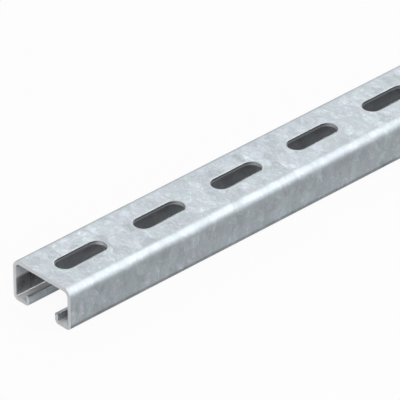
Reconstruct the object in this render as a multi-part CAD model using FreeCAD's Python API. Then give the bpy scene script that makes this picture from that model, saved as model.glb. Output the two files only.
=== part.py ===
# Strut channel: a mounting rail roll-formed from galvanised steel strip.
# Its section is a C with in-turned lips along the open side and a row of slots in the web.
# The rail lies on its lips with the web on top: X runs along it, Y across it, Z up.
# The origin is on the floor, under the middle of the rail.

import FreeCAD, Part
import math
import os

# Sizes of the rolled section, in millimetres
railLength = 500.0
railWidth = 40.0          # over the outsides of the two flanges
railHeight = 22.5         # from the undersides of the lips to the top of the web
sheetThickness = 2.0
mouthWidth = 18.0         # clear opening between the two lips, where channel nuts go in
lipHeight = 5.5           # from the underside of a lip to its tip, inside the rail

# Inner radii of the bends, the tool's side: the outer ones are a sheet thickness larger
webBendRadius = 2.5       # web to flange
footBendRadius = 1.0      # flange to lip
lipBendRadius = 0.5       # where the lip turns up into the rail

# Slots punched in the strip before it is rolled
slotLength = 30.0
slotWidth = 10.5
slotPitch = 50.0          # the end slots are half a pitch from the ends

# Small roundings of the cut metal
slotRimRadius = 0.3       # rim drawn in by the punch, on the outside of the web
stripEdgeRadius = 0.3     # corners of the slit strip, at the tips of the lips

# How far a punch runs past each face of the web
punchOvershoot = 1.0

# Largest distance at which a point still counts as lying in a face
planeTolerance = 0.001


def mirrored(corners):
    # The same corners on the other side of the rail's middle plane, in the opposite order.
    return [(-y, z, radius) for y, z, radius in reversed(corners)]


def roundedOutline(corners):
    # A closed wire through corners (y, z, radius), each one rounded by an arc tangent to both sides.
    points = [FreeCAD.Vector(0, y, z) for y, z, radius in corners]
    arcs = []
    for index, (y, z, radius) in enumerate(corners):
        corner = points[index]
        back = (points[index - 1] - corner).normalize()
        ahead = (points[(index + 1) % len(points)] - corner).normalize()
        halfAngle = back.getAngle(ahead) / 2
        setback = radius / math.tan(halfAngle)
        inward = (back + ahead).normalize()
        middle = corner + inward * (radius / math.sin(halfAngle) - radius)
        arcs.append((corner + back * setback, middle, corner + ahead * setback))
    edges = []
    for index, (start, middle, end) in enumerate(arcs):
        nextStart = arcs[(index + 1) % len(arcs)][0]
        edges.append(Part.Arc(start, middle, end).toShape())
        edges.append(Part.makeLine(end, nextStart))
    return Part.Wire(edges)


def rolledSection():
    # The rail's section: the strip's outer skin from lip tip to lip tip, and the inner skin back.
    # Both skins share their bend centres, so the sheet is equally thick all the way round.
    outerY = railWidth / 2
    innerY = outerY - sheetThickness
    lipOuterY = mouthWidth / 2
    lipInnerY = lipOuterY + sheetThickness
    outerSkin = [
        (lipOuterY, lipHeight, stripEdgeRadius),
        (lipOuterY, 0, lipBendRadius + sheetThickness),
        (outerY, 0, footBendRadius + sheetThickness),
        (outerY, railHeight, webBendRadius + sheetThickness),
    ]
    innerSkin = [
        (innerY, railHeight - sheetThickness, webBendRadius),
        (innerY, sheetThickness, footBendRadius),
        (lipInnerY, sheetThickness, lipBendRadius),
        (lipInnerY, lipHeight, stripEdgeRadius),
    ]
    return roundedOutline(outerSkin + mirrored(outerSkin) + mirrored(innerSkin) + innerSkin)


def rolledRail():
    # The section drawn out along X to the rail's length, which is centred on the origin.
    section = Part.Face(rolledSection())
    section.translate(FreeCAD.Vector(-railLength / 2, 0, 0))
    return section.extrude(FreeCAD.Vector(railLength, 0, 0))


def slotPunch(x):
    # A round-ended punch of the slot's outline, standing through the web at x.
    radius = slotWidth / 2
    reach = slotLength / 2 - radius
    bottom = railHeight - sheetThickness - punchOvershoot
    height = sheetThickness + 2 * punchOvershoot

    def corner(alongX, y):
        return FreeCAD.Vector(x + alongX, y, bottom)

    outline = Part.Wire([
        Part.makeLine(corner(-reach, -radius), corner(reach, -radius)),
        Part.Arc(corner(reach, -radius), corner(reach + radius, 0), corner(reach, radius)).toShape(),
        Part.makeLine(corner(reach, radius), corner(-reach, radius)),
        Part.Arc(corner(-reach, radius), corner(-reach - radius, 0), corner(-reach, -radius)).toShape(),
    ])
    return Part.Face(outline).extrude(FreeCAD.Vector(0, 0, height))


def slotCentres():
    # As many slots as the length holds at the pitch, centred on the rail.
    count = int(railLength // slotPitch)
    return [(index - (count - 1) / 2) * slotPitch for index in range(count)]


def slotRimEdges(rail):
    # The edges of the slots in the outer face of the web.
    def onRim(edge):
        box = edge.BoundBox
        inOuterFace = box.ZMin > railHeight - planeTolerance
        inSlotWidth = max(-box.YMin, box.YMax) < slotWidth / 2 + planeTolerance
        inRailEnds = box.XLength < slotLength
        return inOuterFace and inSlotWidth and inRailEnds

    return [edge for edge in rail.Edges if onRim(edge)]


def strutChannel():
    # The rolled rail with its row of slots, and the rims of the slots rounded on the outside.
    rail = rolledRail().cut([slotPunch(x) for x in slotCentres()])
    rail = rail.makeFillet(slotRimRadius, slotRimEdges(rail))
    return rail.Solids[0]


channel = strutChannel()
os.makedirs("parts", exist_ok=True)
channel.exportStep("parts/strut_channel.step")
print("strut_channel valid", channel.isValid(), "faces", len(channel.Faces), "volume mm3", round(channel.Volume, 1))
print("slots at", slotCentres())
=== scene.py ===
import math

import bpy
import numpy as np
from mathutils import Matrix, Vector


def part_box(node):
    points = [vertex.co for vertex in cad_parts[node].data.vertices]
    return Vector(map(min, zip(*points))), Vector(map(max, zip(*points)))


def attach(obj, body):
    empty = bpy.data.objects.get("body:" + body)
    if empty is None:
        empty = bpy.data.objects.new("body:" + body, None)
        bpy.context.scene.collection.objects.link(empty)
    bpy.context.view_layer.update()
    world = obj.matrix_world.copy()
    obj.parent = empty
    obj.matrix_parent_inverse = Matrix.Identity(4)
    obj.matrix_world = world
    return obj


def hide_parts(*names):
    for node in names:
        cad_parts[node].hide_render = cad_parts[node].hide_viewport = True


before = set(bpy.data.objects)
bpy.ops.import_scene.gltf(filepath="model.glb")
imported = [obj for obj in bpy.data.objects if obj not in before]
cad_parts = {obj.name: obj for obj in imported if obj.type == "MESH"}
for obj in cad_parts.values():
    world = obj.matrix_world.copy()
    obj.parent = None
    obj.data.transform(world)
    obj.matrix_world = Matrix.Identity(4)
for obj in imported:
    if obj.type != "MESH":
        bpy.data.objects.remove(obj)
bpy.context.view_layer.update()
railLow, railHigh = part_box("strut_channel")
print("frame loaded: rail from", tuple(railLow), "to", tuple(railHigh))

# lengths are in metres and angles in degrees, if nothing else is said
slack = 1e-6                    # allowance for rounding, where lengths are compared and points are merged

# The rail. Its length, width and height come from the frame, and the rest repeats the part's own sizes.
railShape = {
    "sheet": 0.002,
    "mouth": 0.018,             # clear opening between the lips
    "lipHeight": 0.0055,
    "webBend": 0.0025,          # inner radii of the bends
    "footBend": 0.001,
    "lipBend": 0.0005,
    "tipRounding": 0.0003,      # corners of the slit strip, at the lips' tips
    "endRounding": 0.00015,     # edges of the sawn ends
    "slotLength": 0.03,
    "slotWidth": 0.0105,
    "slotPitch": 0.05,
    "rimWidth": 0.0014,         # rim drawn in by the punch, outside
    "rimDepth": 0.0003,
    "burrRounding": 0.00008,    # edge where the punch came out, inside
    # the part of these above 1 marks where the painted shade of a slot's straight sides and the painted light
    # of its round ends go
    "endCut": 1.1,              # how much a slot's wall is a cut face, at its round ends
    "sideCut": 2.0,             # and along its straight sides, where 1 is a sawn face
    "bendSteps": 12,            # facets round each bend
    "edgeSteps": 3,             # facets round each small edge
    "rimSteps": 8,              # and down a slot's rim
    "ringSteps": 3,             # rings of facets between a slot's rim and the edge of its piece of the web
    "stepsAlong": 24,           # facets along that piece
    "stepsAcross": 8,           # and across it
}


def turning(start, end, steps):
    # Unit directions (cosine, sine) at even angles from start to end.
    angle = np.radians(np.linspace(start, end, steps + 1))
    return np.stack([np.cos(angle), np.sin(angle)], 1)


def halfStrip():
    # Half of the strip in section, from the slit edge at the lip's tip to where the web gets flat.
    # Each bend is its centre plus the outer, or the inner, radius times the same unit directions,
    # so the points come in pairs that are one sheet thickness apart.
    # Gives outer points, inner points, their normals and how much each pair is a cut face.
    shape = railShape
    sheet, tip = shape["sheet"], shape["tipRounding"]
    lipOuter, lipInner = shape["mouth"] / 2, shape["mouth"] / 2 + sheet
    tipZ = shape["lipHeight"] - tip
    outerWay = turning(90, 180, shape["edgeSteps"])
    innerWay = turning(90, 0, shape["edgeSteps"])
    outer = [(lipOuter + tip, tipZ) + tip * outerWay]
    inner = [(lipInner - tip, tipZ) + tip * innerWay]
    outerNormal, innerNormal = [outerWay], [innerWay]

    flangeInner, webInner = railHigh.y - sheet, railHigh.z - sheet
    lipBend, footBend, webBend = shape["lipBend"], shape["footBend"], shape["webBend"]
    bends = [
        (lipInner + lipBend, sheet + lipBend, lipBend, 180),
        (flangeInner - footBend, sheet + footBend, footBend, 270),
        (flangeInner - webBend, webInner - webBend, webBend, 0),
    ]
    for y, z, radius, start in bends:
        way = turning(start, start + 90, shape["bendSteps"])
        outer.append((y, z) + (radius + sheet) * way)
        inner.append((y, z) + radius * way)
        outerNormal.append(way)
        innerNormal.append(-way)
    cut = np.zeros(sum(len(part) for part in outer))
    cut[:shape["edgeSteps"]] = 1
    return [np.concatenate(part) for part in (outer, inner, outerNormal, innerNormal)] + [cut]


def wholeStrip():
    # The strip in section from tip to tip: a half mirrored, the web's flat at even steps, the other half.
    # Gives a closed loop of points, the outer skin first and the inner one back, with its normals, how
    # much each point is a cut face, its place across the flattened strip, which is the length walked along
    # the sheet's middle, and its depth through the sheet.
    outer, inner, outerNormal, innerNormal, cut = halfStrip()
    flat = np.linspace(-outer[-1, 0], outer[-1, 0], railShape["stepsAcross"] + 1)[1:-1]
    mirror = np.array([-1.0, 1.0])

    def join(half, middle):
        return np.concatenate([half * mirror, middle, half[::-1]])

    up = np.tile([0.0, 1.0], (len(flat), 1))
    outerSkin = join(outer, np.stack([flat, np.full(len(flat), outer[-1, 1])], 1))
    innerSkin = join(inner, np.stack([flat, np.full(len(flat), inner[-1, 1])], 1))
    cut = np.concatenate([cut, np.zeros(len(flat)), cut[::-1]])
    middle = (outerSkin + innerSkin) / 2
    walked = np.concatenate([[0], np.cumsum(np.linalg.norm(np.diff(middle, axis=0), axis=1))])
    across = walked - walked[-1] / 2

    def closed(first, second):
        return np.concatenate([first, second[::-1]])

    return (closed(outerSkin, innerSkin), closed(join(outerNormal, up), join(innerNormal, -up)),
            closed(cut, cut), closed(across, across), closed(np.zeros(len(cut)), np.ones(len(cut))))


def slotPlaces():
    # Centres of the slots, as many as the length holds at the pitch, evenly about the rail's middle, and the
    # edges of the cells round them, half-way between centres.
    length = railHigh.x - railLow.x
    count = int(length / railShape["slotPitch"] + slack)
    centres = (np.arange(count) - (count - 1) / 2) * railShape["slotPitch"]
    end = railHigh.x - railShape["endRounding"]
    edges = np.concatenate([[-end], (centres[1:] + centres[:-1]) / 2, [end]])
    return centres, edges


def ringFaces(rows, columns):
    # Four-cornered faces of a grid of points, row by row. The last row joins the first.
    row, column = np.meshgrid(np.arange(rows), np.arange(columns - 1), indexing="ij")
    corner = row * columns + column
    beside = (row + 1) % rows * columns + column
    return np.stack([corner, corner + 1, beside + 1, beside], -1)


def sweptStrip():
    # The section carried along X. At both ends it goes round a small edge: at the angle a of that edge, the
    # section shrinks along its normals by e (1 - cos a) and moves out by e sin a, e being the edge's radius.
    # The web's flat is left open for the slotted cells. The end faces join outer points to inner ones.
    loop, normal, cut, across, depth = wholeStrip()
    steps, edge = railShape["edgeSteps"], railShape["endRounding"]
    cellEdges = slotPlaces()[1]
    cells = zip(cellEdges[:-1], cellEdges[1:])
    perCell = railShape["stepsAlong"] + 1
    stations = np.concatenate([np.linspace(start, end, perCell)[:-1] for start, end in cells])
    stations = np.append(stations, cellEdges[-1])
    turn = turning(0, 90, steps)[1:]
    bare = np.ones(steps)
    x = np.concatenate([-cellEdges[-1] - edge * turn[::-1, 1], stations, cellEdges[-1] + edge * turn[:, 1]])
    cosine = np.concatenate([turn[::-1, 0], np.ones(len(stations)), turn[:, 0]])
    sine = np.concatenate([-turn[::-1, 1], np.zeros(len(stations)), turn[:, 1]])
    ends = np.concatenate([bare, np.zeros(len(stations)), bare])

    shrunk = loop[:, None] - normal[:, None] * (edge * (1 - cosine))[None, :, None]
    points = np.concatenate([np.broadcast_to(x[None, :, None], shrunk.shape[:2] + (1,)), shrunk], -1)
    normals = np.concatenate([np.broadcast_to(sine[None, :, None], shrunk.shape[:2] + (1,)),
                              normal[:, None] * cosine[None, :, None]], -1)
    strip = np.stack([points[..., 0], np.broadcast_to(across[:, None], shrunk.shape[:2]),
                      np.broadcast_to(depth[:, None], shrunk.shape[:2])], -1)
    cuts = np.maximum(cut[:, None], ends[None, :])

    faces = ringFaces(len(loop), len(x))
    flatY = railHigh.y - railShape["sheet"] - railShape["webBend"] + slack
    onWeb = (np.abs(loop[:, 0]) < flatY) & (loop[:, 1] > railHigh.z - railShape["sheet"] - slack)
    openRow = onWeb & np.roll(onWeb, -1)
    openColumn = (np.arange(len(x) - 1) >= steps) & (np.arange(len(x) - 1) < len(x) - 1 - steps)
    faces = faces[~(openRow[:, None] & openColumn[None, :])]

    # an end face's quads, each between two neighbouring pairs of the strip
    pair = np.arange(len(loop) // 2 - 1)
    mate = len(loop) - 1 - pair
    near = np.stack([pair, pair + 1, mate - 1, mate], -1) * len(x)
    far = np.stack([pair, mate, mate - 1, pair + 1], -1) * len(x) + len(x) - 1
    return points, normals, strip, cuts, np.concatenate([faces, near, far])


def slotOutline(distance):
    # A slot's outline: at each distance walked round it, a point on the line between its two round ends'
    # centres, and the unit direction from there to the outline. Straight stretches alternate with half turns.
    reach, radius = (railShape["slotLength"] - railShape["slotWidth"]) / 2, railShape["slotWidth"] / 2
    halfTurn = math.pi * radius
    walked = np.cumsum([0, reach, halfTurn, 2 * reach, halfTurn, reach])
    spine = np.interp(distance, walked, [0, -reach, -reach, reach, reach, 0])
    angle = np.radians(np.interp(distance, walked, [90, 90, 270, 270, 450, 450]))
    return spine, np.stack([np.cos(angle), np.sin(angle)], -1)


def slottedCell(centre, start, end):
    # One slot's piece of the web, as rings from the cell's rectangle in to the slot, over the drawn-in rim,
    # down the wall, over the burr's edge and back out below. A ring is share times the rectangle plus
    # (1 - share) times the slot's outline grown by an offset. The rim is a quarter of an ellipse: at the
    # angle a the offset is w (1 - sin a) and the depth is d (1 - cos a), w and d being its width and depth.
    # How much the wall is a cut face goes from the ends' value to the sides' with the square of the sine of
    # the outline's direction.
    shape = railShape
    along, over = shape["stepsAlong"], shape["stepsAcross"]
    flatY = railHigh.y - shape["sheet"] - shape["webBend"]
    reach, radius = (shape["slotLength"] - shape["slotWidth"]) / 2, shape["slotWidth"] / 2
    x, y = np.linspace(end, start, along + 1)[:-1], np.linspace(flatY, -flatY, over + 1)[:-1]
    xBack, yBack = np.linspace(start, end, along + 1)[:-1], np.linspace(-flatY, flatY, over + 1)[:-1]
    rectangle = np.concatenate([
        np.stack([x, np.full(along, flatY)], 1),
        np.stack([np.full(over, start), y], 1),
        np.stack([xBack, np.full(along, -flatY)], 1),
        np.stack([np.full(over, end), yBack], 1),
    ])

    # the rectangle's corners go to the middles of the slot's quarter turns
    corner = reach + math.pi * radius / 4
    half = 2 * reach + math.pi * radius
    distance = np.concatenate([np.linspace(-corner, corner, along + 1)[:-1],
                               np.linspace(corner, half - corner, over + 1)[:-1]])
    distance = np.concatenate([distance, distance + half]) % (2 * half)
    spine, way = slotOutline(distance)

    width, drop, burr, rings = shape["rimWidth"], shape["rimDepth"], shape["burrRounding"], shape["ringSteps"]
    down = np.radians(np.linspace(0, 90, shape["rimSteps"] + 1))
    under = np.radians(np.linspace(90, 180, shape["edgeSteps"] + 1))
    inwards = np.linspace(1, 0, rings + 1)[:-1]
    share = np.concatenate([inwards, np.zeros(len(down) + len(under)), inwards[::-1]])
    offset = np.concatenate([np.full(rings, width), width * (1 - np.sin(down)),
                             burr * (1 - np.sin(under)), np.full(rings, burr)])
    top, bottom = railHigh.z, railHigh.z - shape["sheet"]
    z = np.concatenate([np.full(rings, top), top - drop * (1 - np.cos(down)),
                        bottom + burr * (1 + np.cos(under)), np.full(rings, bottom)])
    inward = np.concatenate([np.zeros(rings), drop * np.sin(down), np.sin(under), np.zeros(rings)])
    upward = np.concatenate([np.ones(rings), width * np.cos(down), np.cos(under), -np.ones(rings)])
    cut = np.concatenate([np.zeros(rings - 1 + len(down)), np.ones(len(under)), np.zeros(rings + 1)])

    middle = np.stack([centre + spine, np.zeros(len(spine))], 1)
    outline = middle[:, None] + way[:, None] * (radius + offset)[None, :, None]
    flat = rectangle[:, None] * share[None, :, None] + outline * (1 - share)[None, :, None]
    points = np.concatenate([flat, np.broadcast_to(z[None, :, None], flat.shape[:2] + (1,))], -1)
    normals = np.concatenate([-way[:, None] * inward[None, :, None],
                              np.broadcast_to(upward[None, :, None], flat.shape[:2] + (1,))], -1)
    depth = np.broadcast_to(((top - z) / shape["sheet"])[None, :, None], flat.shape[:2] + (1,))
    strip = np.concatenate([flat, depth], -1)
    wall = shape["endCut"] + (shape["sideCut"] - shape["endCut"]) * way[:, 1] ** 2
    faces = ringFaces(len(rectangle), len(z))[..., ::-1].reshape(-1, 4)
    return points, normals, strip, wall[:, None] * cut[None, :], faces


def buildRail():
    # All the surfaces in one mesh: points at the same place become one, and unused ones go.
    surfaces = [sweptStrip()]
    centres, edges = slotPlaces()
    surfaces += [slottedCell(*cell) for cell in zip(centres, edges[:-1], edges[1:])]
    start = np.cumsum([0] + [surface[0].size // 3 for surface in surfaces])
    points, normals, strip = (
        np.concatenate([surface[kind].reshape(-1, 3) for surface in surfaces]) for kind in range(3))
    cuts = np.concatenate([surface[3].reshape(-1) for surface in surfaces])
    faces = np.concatenate([surface[4].reshape(-1, 4) + first for surface, first in zip(surfaces, start)])
    rounded = np.round(points / slack).astype(np.int64)
    first, place = np.unique(rounded, axis=0, return_index=True, return_inverse=True)[1:]
    used, faces = np.unique(place.reshape(-1)[faces], return_inverse=True)
    faces = faces.reshape(-1, 4)
    keep = first[used]

    mesh = bpy.data.meshes.new("rail")
    mesh.from_pydata(points[keep].tolist(), [], faces.tolist())
    onStrip = mesh.attributes.new("strip", "FLOAT_VECTOR", "POINT")
    onStrip.data.foreach_set("vector", strip[keep].astype(np.float32).ravel())
    bareness = mesh.attributes.new("cut", "FLOAT", "POINT")
    bareness.data.foreach_set("value", cuts[keep].astype(np.float32))
    mesh.polygons.foreach_set("use_smooth", np.ones(len(faces), bool))
    unitNormals = normals[keep] / np.linalg.norm(normals[keep], axis=1)[:, None]
    mesh.normals_split_custom_set_from_vertices(unitNormals.tolist())
    mesh.validate()
    rail = bpy.data.objects.new("rail", mesh)
    bpy.context.scene.collection.objects.link(rail)
    print("rail:", len(keep), "points,", len(faces), "faces")
    return rail


rail = buildRail()
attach(rail, "root")
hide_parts("strut_channel")


def addNode(tree, kind, inputs=None, **settings):
    # A node of this kind with its settings, and its inputs set to values or linked to other nodes' outputs.
    node = tree.nodes.new(kind)
    for name, value in settings.items():
        setattr(node, name, value)
    for name, value in (inputs or {}).items():
        if isinstance(value, bpy.types.NodeSocket):
            tree.links.new(value, node.inputs[name])
        else:
            node.inputs[name].default_value = value
    return node


def calc(tree, operation, a, b=0.0, c=0.0):
    return addNode(tree, "ShaderNodeMath", {0: a, 1: b, 2: c}, operation=operation).outputs[0]


def oneMinus(tree, value):
    return calc(tree, "SUBTRACT", 1.0, value)


def centred(tree, value):
    # A value from 0 to 1, made one from -0.5 to 0.5.
    return calc(tree, "SUBTRACT", value, 0.5)


def vectorMath(tree, operation, *vectors, scale=None):
    inputs = dict(enumerate(vectors))
    if scale is not None:
        inputs["Scale"] = scale
    return addNode(tree, "ShaderNodeVectorMath", inputs, operation=operation).outputs[0]


def remap(tree, value, low, high, newLow, newHigh):
    inputs = {"Value": value, "From Min": low, "From Max": high, "To Min": newLow, "To Max": newHigh}
    return addNode(tree, "ShaderNodeMapRange", inputs).outputs["Result"]


def stepped(tree, value, stops):
    # A value that goes evenly from stop to stop, each of them a place and the value there.
    reach = stops[-1][0]
    node = addNode(tree, "ShaderNodeValToRGB", {0: calc(tree, "DIVIDE", value, reach)})
    elements = node.color_ramp.elements
    for number, (place, amount) in enumerate(stops):
        element = elements[number] if number < 2 else elements.new(place / reach)
        element.position, element.color = place / reach, (amount, amount, amount, 1)
    return node.outputs["Color"]


def flatNoise(tree, place, scale, detail, roughness=0.5):
    inputs = {"Vector": place, "Scale": scale, "Detail": detail, "Roughness": roughness}
    return addNode(tree, "ShaderNodeTexNoise", inputs, noise_dimensions="2D").outputs


def flatCells(tree, place, **settings):
    inputs = {"Vector": place, "Scale": 1.0}
    return addNode(tree, "ShaderNodeTexVoronoi", inputs, voronoi_dimensions="2D", **settings).outputs


def mixNumbers(tree, factor, a, b):
    return addNode(tree, "ShaderNodeMix", {"Factor": factor, "A": a, "B": b}).outputs["Result"]


def mixColors(tree, factor, a, b, **settings):
    inputs = {"Factor": factor, "A": a, "B": b}
    return addNode(tree, "ShaderNodeMix", inputs, data_type="RGBA", **settings).outputs["Result"]


def shaded(tree, color, shade):
    # The colour made lighter or darker by a number.
    grey = addNode(tree, "ShaderNodeCombineColor", {0: shade, 1: shade, 2: shade}).outputs[0]
    return mixColors(tree, 1.0, color, grey, blend_type="MULTIPLY")


def newGroup(name, inputs, outputs):
    # An empty shader node group with named inputs and outputs, each given as its name and its socket's kind.
    group = bpy.data.node_groups.new(name, "ShaderNodeTree")
    for way, sockets in (("INPUT", inputs), ("OUTPUT", outputs)):
        for socketName, kind in sockets:
            group.interface.new_socket(socketName, in_out=way, socket_type=kind)
    return group, group.nodes.new("NodeGroupInput").outputs, group.nodes.new("NodeGroupOutput").inputs


def useGroup(tree, group, inputs):
    return addNode(tree, "ShaderNodeGroup", inputs, node_tree=group).outputs


# the form of a zinc crystal, with its own size as the unit
crystalForm = {
    "waveScale": 1.3,           # how fine the waves of its border are
    "waveDetail": 3.0,
    "waveRoughness": 0.55,
    "waveDepth": (1.1, 1.1, 0.0),
    "feathersApart": (17.0, 23.0, 0.0),  # how far apart in the noise two crystals' feathers lie
    "featherScale": 1.5,
    "featherDetail": 2.0,
    "featherFrom": 0.5,         # noise at which a feather starts
    "featherTo": 0.8,           # and at which it is full
    "reliefScale": 0.9,
    "reliefDetail": 1.0,
}


def spangleGroup():
    # Zinc crystals of one size, with a border that fades out. Each has a shade and a tint of its own, leans
    # its own way, and has feathers that grow one way. Relief is the soft swell of the coating.
    form = crystalForm
    number, vector = "NodeSocketFloat", "NodeSocketVector"
    group, given, result = newGroup(
        "zincSpangle",
        [("Place", vector), ("Size", number), ("Stretch", number), ("Border", number)],
        [("Shade", number), ("Feather", number), ("Tint", number), ("Lean", vector), ("Relief", number)])
    halves = (0.5, 0.5, 0.5)
    scaled = vectorMath(group, "SCALE", given["Place"], scale=calc(group, "DIVIDE", 1.0, given["Size"]))
    wave = flatNoise(group, scaled, form["waveScale"], form["waveDetail"], form["waveRoughness"])["Color"]
    wave = vectorMath(group, "SUBTRACT", wave, halves)
    ragged = vectorMath(group, "MULTIPLY_ADD", wave, form["waveDepth"], scaled)
    cell = flatCells(group, ragged)
    fromBorder = flatCells(group, ragged, feature="DISTANCE_TO_EDGE")["Distance"]
    inside = addNode(group, "ShaderNodeMapRange", {"Value": fromBorder, "From Max": given["Border"]},
                     interpolation_type="SMOOTHSTEP").outputs["Result"]
    chance = addNode(group, "ShaderNodeSeparateColor", {0: cell["Color"]}).outputs

    # feathers: noise drawn out one way, turned by chance about the crystal's own middle
    fromCentre = vectorMath(group, "SUBTRACT", ragged, cell["Position"])
    angle = calc(group, "MULTIPLY", chance[0], 2 * math.pi)
    turned = addNode(group, "ShaderNodeVectorRotate", {"Vector": fromCentre, "Angle": angle},
                     rotation_type="Z_AXIS").outputs[0]
    narrow = addNode(group, "ShaderNodeCombineXYZ", {"X": 1.0, "Y": given["Stretch"]}).outputs[0]
    combed = vectorMath(group, "MULTIPLY", turned, narrow)
    combed = vectorMath(group, "MULTIPLY_ADD", cell["Color"], form["feathersApart"], combed)
    streak = flatNoise(group, combed, form["featherScale"], form["featherDetail"])[0]
    streak = remap(group, streak, form["featherFrom"], form["featherTo"], 0.0, 1.0)

    other = addNode(group, "ShaderNodeTexWhiteNoise", {"Vector": cell["Color"]}, noise_dimensions="3D")
    leaning = vectorMath(group, "SUBTRACT", other.outputs["Color"], halves)
    made = {
        "Shade": calc(group, "MULTIPLY", centred(group, chance[1]), inside),
        "Feather": calc(group, "MULTIPLY", streak, inside),
        "Tint": calc(group, "MULTIPLY_ADD", centred(group, chance[2]), inside, 0.5),
        "Lean": vectorMath(group, "SCALE", leaning, scale=inside),
        "Relief": flatNoise(group, scaled, form["reliefScale"], form["reliefDetail"])[0],
    }
    for name, value in made.items():
        group.links.new(value, result[name])
    return group


# Shades that change across the strip are pairs: the distance from the web's middle, measured across the
# flattened strip, and the shade there. The web bend lies at 15.5 to 21 mm, the foot bend at 36 to 39.1 mm,
# the lip bend at 44.6 to 47 mm and the lip's tip at 50 mm.
galvanised = {
    "zinc": (0.475, 0.508, 0.53),
    # painted shade on the outer skin, darker high on the flange and in a line along the outer foot bend,
    # where the floor's shadow would be mirrored, and painted light on the lips' faces at the mouth
    "outerPaintedLightAndShade": [(0.0, 1.0), (0.02, 1.0), (0.023, 0.88), (0.031, 0.98), (0.0353, 1.02), (0.036, 0.68),
                   (0.0365, 0.68), (0.0374, 0.9), (0.0386, 1.0), (0.046, 1.0), (0.0475, 1.5), (0.05, 1.5)],
    # painted light: the inner skin's zinc is lighter than the outer's, to brighten the shaded inside of the
    # channel
    "innerZincPaintedLighter": (0.625, 0.64, 0.66),
    # painted light and shade on the inner skin: darker under the web, down the flange's middle and on the
    # lip's inner face, lighter high on the flange and on the foot's floor, with painted highlight lines along
    # the foot and lip bends
    "innerPaintedLightAndShade": [(0.0, 0.75), (0.0205, 0.75), (0.0215, 1.25), (0.026, 1.25), (0.0275, 0.8),
                   (0.0325, 0.71), (0.036, 0.62), (0.0366, 0.62), (0.0374, 1.6), (0.0384, 1.85),
                   (0.0392, 1.85), (0.0398, 1.78), (0.0446, 1.78), (0.045, 1.85), (0.0459, 1.85),
                   (0.0464, 0.6), (0.05, 0.6)],
    "innerDull": 0.55,          # how far the inner skin is from bright metal
    # how much of that dullness its bends lack at the foot and the lip, where the rolls rub them
    "bendShine": [(0.0, 0.0), (0.0366, 0.0), (0.0374, 0.6), (0.039, 0.6), (0.0396, 0.0), (0.0446, 0.0),
                  (0.0451, 0.6), (0.0462, 0.6), (0.0468, 0.0), (0.05, 0.0)],
    "bendSmooth": 0.08,         # and how much less rough they are
    # painted shade inside, by the sawn ends: along the rail from its middle, and across the strip
    "paintedShadeAlong": [(0.0, 0.0), (0.222, 0.0), (0.232, 0.64), (0.247, 0.64), (0.25, 0.42)],
    "paintedShadeAcross": [(0.0, 0.0), (0.026, 0.0), (0.0275, 1.0), (0.0345, 0.9), (0.0365, 0.6), (0.0375, 0.0),
                    (0.05, 0.0)],
    "largeCrystal": {"Size": 0.0062, "Stretch": 3.0, "Border": 0.12},
    "smallCrystal": {"Size": 0.0027, "Stretch": 2.0, "Border": 0.3},
    "smallShare": 0.5,          # how much the small crystals count beside the large ones
    "stretch": 1.18,            # how much longer crystals are across the strip, and shorter along it
    "innerMoved": 0.4,          # how far off in the pattern the inner skin's piece of it lies
    "shadeSpread": 0.34,        # lightest to darkest crystal
    "featherLight": 0.34,       # how much lighter the feathers are
    "lean": 0.18,               # how far a crystal leans, as a share of its normal
    "tints": [(0.955, 1.005, 1.0, 1), (1.0, 0.992, 1.03, 1)],
    # how much the crystals show, across the strip: little where the bend has stretched them
    "show": [(0.0, 1.0), (0.0142, 1.0), (0.0162, 0.5), (0.0208, 0.5), (0.0225, 0.75), (0.05, 0.75)],
    "innerShow": 0.55,          # and the share of it on the inner skin
    "bloom": 0.2,               # how strong the dull clouds in the zinc are
    "bloomScale": 140.0,
    "bloomDetail": 2.0,
    "bloomRoughness": 0.55,
    "bloomSmear": (1.0, 0.6, 0.0),
    "grain": 0.14,              # and how strong its grain is
    "grainScale": 1400.0,
    "grainDetail": 1.0,
    "roughness": 0.42,
    "roughnessSpread": 0.08,
    "swell": 0.00005,           # height of the coating's unevenness, by the large crystals
    "smallSwell": 0.0000075,    # and by the small ones
}

# the faces where the saw, the slitting blade and the punch went through
bareFace = {
    "steel": (0.84, 0.86, 0.88),
    # painted light: the sawn faces are lighter at the feet and lips, whose ends would mirror the floor's
    # shadow
    "shade": [(0.0, 0.96), (0.03, 0.98), (0.038, 1.16), (0.0488, 1.16), (0.0492, 1.0), (0.05, 1.0)],
    "tornFrom": 0.35,           # depth through the sheet where the sheared part ends
    "tornTo": 0.6,              # and where it is all torn
    "wallLoss": 0.74,           # how much darker the sheared part is, on a slot's straight sides: partly the smoother sheared steel, partly painted shade
    "tipPaintedShade": [(0.0, 0.0), (0.0488, 0.0), (0.0492, 0.25), (0.05, 0.25)],  # and the painted shade at the lips' tips
    "punchedFrom": 0.05,        # how much more a cut face than a sawn one what is punched is, at the least
    "endPaintedLight": 0.2,            # painted light: how much lighter a slot's round ends are
    "endDull": 0.5,             # and how far from bright metal
    "lineScale": (2500.0, 2500.0, 1.5),  # fine lines, drawn out through the sheet
    "lineDetail": 2.0,
    "lineShade": 0.15,
    "lineHeight": 0.00002,
    "roughness": 0.38,
    "tornRoughness": 0.12,      # added to it where the steel is torn
}


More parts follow.
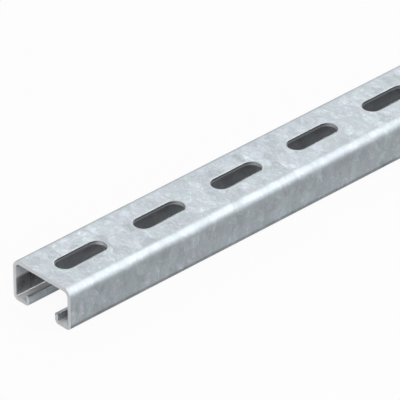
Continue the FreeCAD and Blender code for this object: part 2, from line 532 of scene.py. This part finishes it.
def zincSkin(tree, at):
    # The zinc of both skins: its colour, with painted light and shade across the strip and by the sawn ends,
    # its roughness and height, and which way its crystals lean.
    look, fromMiddle = galvanised, at["fromMiddle"]
    moved = calc(tree, "MULTIPLY_ADD", at["depth"], look["innerMoved"], at["across"])
    flat = addNode(tree, "ShaderNodeCombineXYZ", {"X": at["along"], "Y": moved}).outputs[0]
    flat = vectorMath(tree, "MULTIPLY", flat, (look["stretch"], 1 / look["stretch"], 0.0))
    spangle = spangleGroup()
    large = useGroup(tree, spangle, {"Place": flat, **look["largeCrystal"]})
    small = useGroup(tree, spangle, {"Place": flat, **look["smallCrystal"]})
    smeared = vectorMath(tree, "MULTIPLY", flat, look["bloomSmear"])
    bloom = flatNoise(tree, smeared, look["bloomScale"], look["bloomDetail"], look["bloomRoughness"])[0]
    grain = flatNoise(tree, flat, look["grainScale"], look["grainDetail"])[0]

    # painted shade inside, near the sawn ends
    paintedShadeAlong = stepped(tree, calc(tree, "ABSOLUTE", at["along"]), look["paintedShadeAlong"])
    paintedEndShade = calc(tree, "MULTIPLY", paintedShadeAlong, stepped(tree, fromMiddle, look["paintedShadeAcross"]))
    # painted light and shade across the strip, on both skins
    inner = calc(tree, "MULTIPLY", stepped(tree, fromMiddle, look["innerPaintedLightAndShade"]), oneMinus(tree, paintedEndShade))
    shade = mixNumbers(tree, at["depth"], stepped(tree, fromMiddle, look["outerPaintedLightAndShade"]), inner)
    show = remap(tree, at["depth"], 0.0, 1.0, 1.0, look["innerShow"])
    show = calc(tree, "MULTIPLY", stepped(tree, fromMiddle, look["show"]), show)
    crystals = 0.0
    for spangles, share in ((large, 1.0), (small, look["smallShare"])):
        crystals = calc(tree, "MULTIPLY_ADD", spangles["Shade"], share * look["shadeSpread"], crystals)
        crystals = calc(tree, "MULTIPLY_ADD", spangles["Feather"], share * look["featherLight"], crystals)
    shade = calc(tree, "MULTIPLY_ADD", crystals, show, shade)
    shade = calc(tree, "MULTIPLY_ADD", centred(tree, bloom), look["bloom"], shade)
    shade = calc(tree, "MULTIPLY_ADD", centred(tree, grain), look["grain"], shade)
    color = mixColors(tree, at["depth"], (*look["zinc"], 1), (*look["innerZincPaintedLighter"], 1))
    tint = mixColors(tree, large["Tint"], *look["tints"])
    color = shaded(tree, mixColors(tree, 1.0, color, tint, blend_type="MULTIPLY"), shade)

    rough = calc(tree, "MULTIPLY_ADD", large["Shade"], look["roughnessSpread"], look["roughness"])
    rough = calc(tree, "MULTIPLY_ADD", small["Shade"], look["roughnessSpread"], rough)
    rough = calc(tree, "MULTIPLY_ADD", at["bendShine"], -look["bendSmooth"], rough)
    smallSwell = calc(tree, "MULTIPLY", small["Relief"], look["smallSwell"])
    height = calc(tree, "MULTIPLY_ADD", large["Relief"], look["swell"], smallSwell)
    lean = vectorMath(tree, "SCALE", large["Lean"], scale=calc(tree, "MULTIPLY", show, look["lean"]))
    return color, rough, height, lean


def cutFace(tree, at):
    # Bare steel with fine lines, sheared smooth where the tool went in and torn below: its colour, with
    # painted light and shade, its roughness and height, and where the slots' round ends are.
    look = bareFace
    drawnOut = vectorMath(tree, "MULTIPLY", at["place"], look["lineScale"])
    inputs = {"Vector": drawnOut, "Scale": 1.0, "Detail": look["lineDetail"]}
    lines = addNode(tree, "ShaderNodeTexNoise", inputs).outputs[0]
    torn = remap(tree, at["depth"], look["tornFrom"], look["tornTo"], 0.0, 1.0)
    onWall = remap(tree, at["punched"], 0.0, look["punchedFrom"], 0.0, 1.0)
    roundEnd = calc(tree, "MULTIPLY", onWall, oneMinus(tree, at["punched"]))
    # painted shade over the sheared part, on the slots' straight sides and the lips' tips
    tipPaintedShade = stepped(tree, at["fromMiddle"], look["tipPaintedShade"])
    loss = calc(tree, "MULTIPLY_ADD", at["punched"], look["wallLoss"], tipPaintedShade)
    loss = calc(tree, "MULTIPLY", loss, oneMinus(tree, torn))
    shade = calc(tree, "SUBTRACT", stepped(tree, at["fromMiddle"], look["shade"]), loss)
    # painted light on the slots' round ends
    shade = calc(tree, "MULTIPLY_ADD", roundEnd, look["endPaintedLight"], shade)
    shade = calc(tree, "MULTIPLY_ADD", centred(tree, lines), look["lineShade"], shade)
    rough = calc(tree, "MULTIPLY_ADD", torn, look["tornRoughness"], look["roughness"])
    height = calc(tree, "MULTIPLY", lines, look["lineHeight"])
    return shaded(tree, (*look["steel"], 1), shade), rough, height, roundEnd


def galvanisedSteel():
    # The rail's material. It reads two of the mesh's attributes: strip, a place along the rail, across the
    # flattened strip and through the sheet, and cut, which is 0 on the zinc, 1 on a face that was sawn or
    # slit, and more on what was punched.
    material = bpy.data.materials.new("galvanised_steel")
    material.use_nodes = True
    tree = material.node_tree
    tree.nodes.clear()
    place = addNode(tree, "ShaderNodeAttribute", attribute_name="strip").outputs["Vector"]
    bareness = addNode(tree, "ShaderNodeAttribute", attribute_name="cut").outputs["Fac"]
    parts = addNode(tree, "ShaderNodeSeparateXYZ", {0: place}).outputs
    cut = calc(tree, "MINIMUM", bareness, 1.0)
    depth, fromMiddle = parts["Z"], calc(tree, "ABSOLUTE", parts["Y"])
    at = {
        "place": place,
        "along": parts["X"],
        "across": parts["Y"],
        "depth": depth,
        "fromMiddle": fromMiddle,
        "punched": calc(tree, "MAXIMUM", calc(tree, "SUBTRACT", bareness, 1.0), 0.0),
        "bendShine": calc(tree, "MULTIPLY", stepped(tree, fromMiddle, galvanised["bendShine"]), depth),
    }
    zinc, zincRough, zincHeight, lean = zincSkin(tree, at)
    bare, bareRough, bareHeight, roundEnd = cutFace(tree, at)

    dull = calc(tree, "MULTIPLY", depth, oneMinus(tree, cut))
    dull = calc(tree, "MULTIPLY", dull, oneMinus(tree, at["bendShine"]))
    bright = calc(tree, "MULTIPLY_ADD", roundEnd, -bareFace["endDull"], 1.0)
    bright = calc(tree, "MULTIPLY_ADD", dull, -galvanised["innerDull"], bright)

    own = addNode(tree, "ShaderNodeNewGeometry").outputs["Normal"]
    lean = vectorMath(tree, "SCALE", lean, scale=oneMinus(tree, cut))
    leaning = vectorMath(tree, "NORMALIZE", vectorMath(tree, "ADD", own, lean))
    height = mixNumbers(tree, cut, zincHeight, bareHeight)
    bump = addNode(tree, "ShaderNodeBump", {
        "Height": height,
        "Strength": 1.0,
        "Distance": 1.0,
        "Normal": leaning,
    })
    shader = addNode(tree, "ShaderNodeBsdfPrincipled", {
        "Base Color": mixColors(tree, cut, zinc, bare, clamp_result=True),
        "Metallic": bright,
        "Roughness": mixNumbers(tree, cut, zincRough, bareRough),
        "Normal": bump.outputs[0],
    })
    output = addNode(tree, "ShaderNodeOutputMaterial")
    tree.links.new(shader.outputs[0], output.inputs["Surface"])
    return material


rail.data.materials.append(galvanisedSteel())
print("material on")

floorLook = {
    "size": 12.0,
    "below": 0.00003,           # how far it lies under the rail's feet, so that the two never share a plane
    "colour": (0.57, 0.57, 0.57),
    "ownWhite": 0.94,           # share of plain white that the camera sees in place of lit floor
    "reflectedWhite": 0.13,     # and that reflections see, so that the metal mirrors the shadow beside it
}


def makeFloor():
    # A flat sheet under the rail, in one face.
    half, low = floorLook["size"] / 2, -floorLook["below"]
    corners = [(-half, -half, low), (half, -half, low), (half, half, low), (-half, half, low)]
    mesh = bpy.data.meshes.new("floor")
    mesh.from_pydata(corners, [], [(0, 1, 2, 3)])
    floor = bpy.data.objects.new("floor", mesh)
    bpy.context.scene.collection.objects.link(floor)
    material = bpy.data.materials.new("pale_floor")
    material.use_nodes = True
    tree = material.node_tree
    tree.nodes.clear()
    path = addNode(tree, "ShaderNodeLightPath").outputs
    mirrored = calc(tree, "MAXIMUM", path["Is Glossy Ray"], path["Is Transmission Ray"])
    share = calc(tree, "MULTIPLY", mirrored, floorLook["reflectedWhite"])
    share = calc(tree, "MULTIPLY_ADD", path["Is Camera Ray"], floorLook["ownWhite"], share)
    lit = addNode(tree, "ShaderNodeBsdfDiffuse", {"Color": (*floorLook["colour"], 1)}).outputs[0]
    white = addNode(tree, "ShaderNodeEmission", {"Color": (1, 1, 1, 1), "Strength": 1.0}).outputs[0]
    mixed = addNode(tree, "ShaderNodeMixShader", {0: share, 1: lit, 2: white}).outputs[0]
    output = addNode(tree, "ShaderNodeOutputMaterial")
    tree.links.new(mixed, output.inputs["Surface"])
    mesh.materials.append(material)


makeFloor()

# Softboxes. Each faces the rail's near half. It is turned about the rail from straight above towards -Y,
# and led along the rail towards +X. Its width runs round the rail. One that isn't mirrored only lights
# what is dull, such as the inside of the rail, and gives the bright skin no highlight.
studio = {
    "aim": (-0.12, 0.0, 0.02),
    "world": 0.42,
    "boxes": {
        "keyBox": {"turned": 19.0, "led": 30.0, "distance": 3.0, "width": 3.8, "height": 1.3,
                   "radiance": 2.8, "mirrored": True},
        "sideBox": {"turned": 68.0, "led": 28.0, "distance": 3.0, "width": 2.0, "height": 1.3,
                    "radiance": 1.75, "mirrored": True},
        "endBox": {"turned": 40.0, "led": -20.0, "distance": 3.0, "width": 1.6, "height": 1.0,
                   "radiance": 8.0, "mirrored": False},
        "backBox": {"turned": -50.0, "led": 33.0, "distance": 3.4, "width": 3.0, "height": 5.0,
                    "radiance": 0.88, "mirrored": True},
    },
}


def makeLights():
    # A lamp's own axes are: round the rail, along the rail, and the way back to the lamp. Its power is its
    # radiance times pi times its area.
    world = bpy.data.worlds.new("studio")
    world.use_nodes = True
    background = world.node_tree.nodes["Background"]
    background.inputs["Color"].default_value = (1, 1, 1, 1)
    background.inputs["Strength"].default_value = studio["world"]
    bpy.context.scene.world = world
    for name, box in studio["boxes"].items():
        light = bpy.data.lights.new(name, "AREA")
        light.shape = "RECTANGLE"
        light.size, light.size_y = box["width"], box["height"]
        light.energy = box["radiance"] * math.pi * box["width"] * box["height"]
        lamp = bpy.data.objects.new(name, light)
        lamp.visible_glossy = box["mirrored"]
        turned, led = math.radians(box["turned"]), math.radians(box["led"])
        way = Vector((math.sin(led), -math.cos(led) * math.sin(turned), math.cos(led) * math.cos(turned)))
        around = Vector((0.0, -math.cos(turned), -math.sin(turned)))
        axes = Matrix((around, way.cross(around), way)).transposed().to_4x4()
        lamp.matrix_world = Matrix.Translation(Vector(studio["aim"]) + way * box["distance"]) @ axes
        bpy.context.scene.collection.objects.link(lamp)


makeLights()

# the photograph's camera: the view's middle meets the web at aim
view = {
    "aim": (-0.15236, -0.00409, 0.0225),
    "azimuth": -42.615,
    "elevation": 32.740,
    "roll": -0.671,
    "distance": 3.854,
    "lens": 731.8,              # in millimetres, as the sensor is
    "sensor": 36.0,
    "farthest": 50.0,           # nothing beyond it shows
}


def makeCamera():
    # Azimuth 0 looks along +Y from the -Y side.
    data = bpy.data.cameras.new("camera")
    data.sensor_fit = "HORIZONTAL"
    data.sensor_width = view["sensor"]
    data.lens = view["lens"]
    data.clip_end = view["farthest"]
    camera = bpy.data.objects.new("camera", data)
    azimuth, elevation = math.radians(view["azimuth"]), math.radians(view["elevation"])
    level = math.cos(elevation)
    back = Vector((math.sin(azimuth) * level, -math.cos(azimuth) * level, math.sin(elevation)))
    roll = Matrix.Rotation(math.radians(view["roll"]), 4, "Z")
    turn = back.to_track_quat("Z", "Y").to_matrix().to_4x4() @ roll
    camera.matrix_world = Matrix.Translation(Vector(view["aim"]) + back * view["distance"]) @ turn
    bpy.context.scene.collection.objects.link(camera)
    bpy.context.scene.camera = camera


makeCamera()
bpy.context.scene.view_settings.view_transform = "Standard"
print("floor, lights and camera on")
